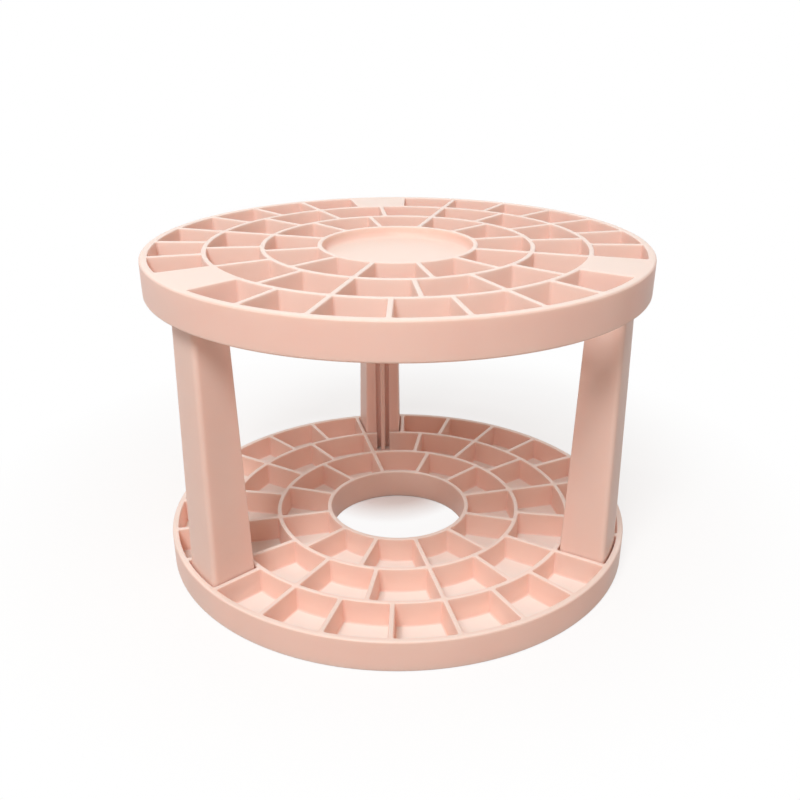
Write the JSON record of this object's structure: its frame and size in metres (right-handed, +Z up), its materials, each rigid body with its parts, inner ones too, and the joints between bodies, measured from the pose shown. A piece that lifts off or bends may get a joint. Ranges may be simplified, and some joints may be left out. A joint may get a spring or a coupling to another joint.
{
  "type": "makeup brush holder",
  "caption": "Round two-tier rack for makeup brushes: a tray of open cells on push-fit legs over a tray of floored cells.",
  "frame": {"origin": "middle of the bottom tray's underside", "axes": "+Z up, +Y towards the back leg"},
  "size_m": [0.144, 0.144, 0.095],
  "materials": {
    "pink_plastic": "satin"
  },
  "bodies": {
    "base": {"bottom_tray": "pink_plastic"},
    "legs": {"back_leg": "pink_plastic", "left_leg": "pink_plastic", "right_leg": "pink_plastic"},
    "top": {"top_tray": "pink_plastic"}
  },
  "joints": [
    {"name": "pull_legs", "type": "slide", "parent": "base", "child": "legs", "axis": [0, 0, 1], "range_m": [0, 0.02]},
    {"name": "lift_top", "type": "slide", "parent": "legs", "child": "top", "axis": [0, 0, 1], "range_m": [0, 0.02]}
  ]
}
